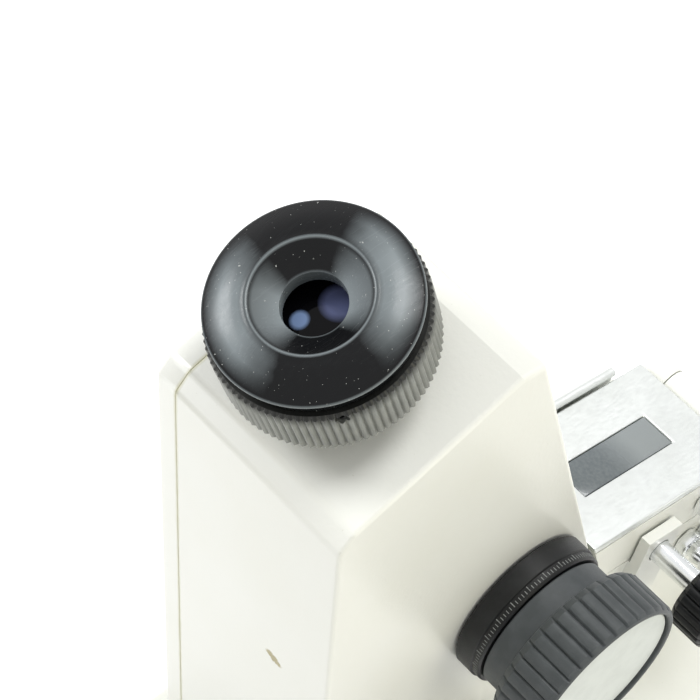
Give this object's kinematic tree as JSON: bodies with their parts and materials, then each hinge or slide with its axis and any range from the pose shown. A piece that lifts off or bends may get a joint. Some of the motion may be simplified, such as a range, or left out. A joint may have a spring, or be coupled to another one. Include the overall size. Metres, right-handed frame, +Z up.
{
  "type": "abbe refractometer",
  "caption": "Bench refractometer: leaning eyepiece with a focusing ring on a slim housing, side knobs, hinged double-prism block at the rear and a flat base.",
  "frame": {"origin": "centre of the base footprint at table level, under the rubber feet", "axes": "+Z up, +X towards the user's right, where the knobs are, -Y towards the user at the eyepiece side"},
  "size_m": [0.1, 0.2, 0.2385],
  "materials": {
    "cream_enamel": "fine orange-peel baked enamel",
    "black_gloss": "polished moulded",
    "black_satin": "satin black anodised",
    "black_grip": "moulded, worn satin",
    "silver_plate": "bright satin plated",
    "chrome": "polished",
    "steel": "turned",
    "brass": "machined",
    "glass": "polished, coated",
    "mirror": "silvered",
    "rubber": "matt moulded",
    "pale_disc": "satin moulded"
  },
  "bodies": {
    "frame": {"base_casting": "cream_enamel", "base_cover": "black_satin", "foot_front_left": "rubber", "foot_front_right": "rubber", "foot_rear_left": "rubber", "foot_rear_right": "rubber", "housing_casting": "cream_enamel", "left_cover": "cream_enamel", "eyepiece_socket": "black_satin", "reticle_disc": "glass", "telescope_tube": "black_satin", "objective_lens": "glass", "rhomboid_prism": "glass", "optics_frame": "black_satin", "reading_lens": "glass", "reading_mirror": "mirror", "condenser_lens": "glass", "refraction_seat": "cream_enamel", "refraction_prism": "glass", "prism_hinge_pin": "steel", "lower_nozzle_front": "chrome", "lower_nozzle_rear": "chrome", "thermometer_seat": "chrome", "reflector_pin": "steel"},
    "lens_barrel": {"eyepiece_barrel": "black_satin", "eye_lens": "glass", "field_lens": "glass"},
    "eyepiece_ring": {"focus_ring": "black_satin", "focus_ring_screw": "steel", "eye_cap": "black_gloss"},
    "upper_cell": {"upper_prism_cell": "brass", "upper_dispersion_prism": "glass"},
    "lower_cell": {"lower_prism_cell": "brass", "lower_dispersion_prism": "glass"},
    "dispersion_drive": {"dispersion_pinion_shaft": "steel", "dispersion_scale_ring": "black_satin", "dispersion_knob": "black_grip", "dispersion_knob_disc": "pale_disc"},
    "index_drive": {"index_pinion_shaft": "steel", "index_knob": "black_grip"},
    "measuring_axle": {"mirror_axle": "steel", "mirror_holder": "black_satin", "swing_mirror": "mirror", "sector_gear": "brass", "scale_arm": "brass", "scale_plate": "glass"},
    "condenser": {"condenser_turret": "black_satin"},
    "entry_block": {"entry_seat": "cream_enamel", "entry_prism": "glass", "entry_top_plate": "silver_plate", "upper_nozzle_front": "chrome", "upper_nozzle_rear": "chrome"},
    "shield": {"light_shield": "silver_plate"},
    "lock_wheel": {"lock_stem": "chrome", "lock_knob": "black_grip"},
    "thermometer": {"thermometer": "glass"},
    "reflector": {"reflector_frame": "black_satin", "reflector_glass": "mirror"}
  },
  "joints": [
    {"name": "eyepiece_focus", "type": "slide", "parent": "frame", "child": "lens_barrel", "axis": [0, -0.2756, 0.9613], "range_m": [-0.003, 0.003]},
    {"name": "eyepiece_turn", "type": "hinge", "parent": "lens_barrel", "child": "eyepiece_ring", "pos_m": [-0.01, -0.052, 0.231], "axis": [0, -0.2756, 0.9613], "range_deg": [-180, 180]},
    {"name": "dispersion_turn", "type": "hinge", "parent": "frame", "child": "dispersion_drive", "pos_m": [0.019, -0.01239, 0.11607], "axis": [1, 0, 0], "range_deg": [-210, 210]},
    {"name": "upper_cell_turn", "type": "hinge", "parent": "frame", "child": "upper_cell", "pos_m": [0.0015, -0.01239, 0.11607], "axis": [0, -0.2756, 0.9613], "range_deg": [-92, 92]},
    {"name": "lower_cell_turn", "type": "hinge", "parent": "frame", "child": "lower_cell", "pos_m": [0.0015, -0.01239, 0.11607], "axis": [0, -0.2756, 0.9613], "range_deg": [-92, 92]},
    {"name": "index_turn", "type": "hinge", "parent": "frame", "child": "index_drive", "pos_m": [0.019, -0.0294, 0.0502], "axis": [1, 0, 0], "range_deg": [-60, 60]},
    {"name": "mirror_swing", "type": "hinge", "parent": "frame", "child": "measuring_axle", "pos_m": [0.0015, 0.0066, 0.0502], "axis": [1, 0, 0], "range_deg": [-12.5, 12.5]},
    {"name": "condenser_turn", "type": "hinge", "parent": "frame", "child": "condenser", "pos_m": [-0.037, -0.0136, 0.086], "axis": [1, 0, 0], "range_deg": [-90, 90]},
    {"name": "prism_open", "type": "hinge", "parent": "frame", "child": "entry_block", "pos_m": [0.0015, 0.07163, 0.08886], "axis": [-1, 0, 0], "range_deg": [0, 95]},
    {"name": "shield_fold", "type": "hinge", "parent": "entry_block", "child": "shield", "pos_m": [-0.0175, 0.03096, 0.10431], "axis": [0, 0.9744, -0.225], "range_deg": [0, 270]},
    {"name": "lock_turn", "type": "hinge", "parent": "frame", "child": "lock_wheel", "pos_m": [0.025, 0.03603, 0.08805], "axis": [1, 0, 0], "range_deg": [0, 270]},
    {"name": "thermometer_lift", "type": "slide", "parent": "frame", "child": "thermometer", "axis": [0, 0, 1], "range_m": [0, 0.03]},
    {"name": "reflector_tilt", "type": "hinge", "parent": "frame", "child": "reflector", "pos_m": [0.0015, 0.07697, 0.06002], "axis": [1, 0, 0], "range_deg": [0, 70]}
  ],
  "couplings": [
    {"joint": "eyepiece_focus", "follows": "eyepiece_turn", "m_per_rad": 0.00095},
    {"joint": "upper_cell_turn", "follows": "dispersion_turn", "ratio": -0.42857},
    {"joint": "lower_cell_turn", "follows": "dispersion_turn", "ratio": 0.42857},
    {"joint": "mirror_swing", "follows": "index_turn", "ratio": -0.2}
  ]
}
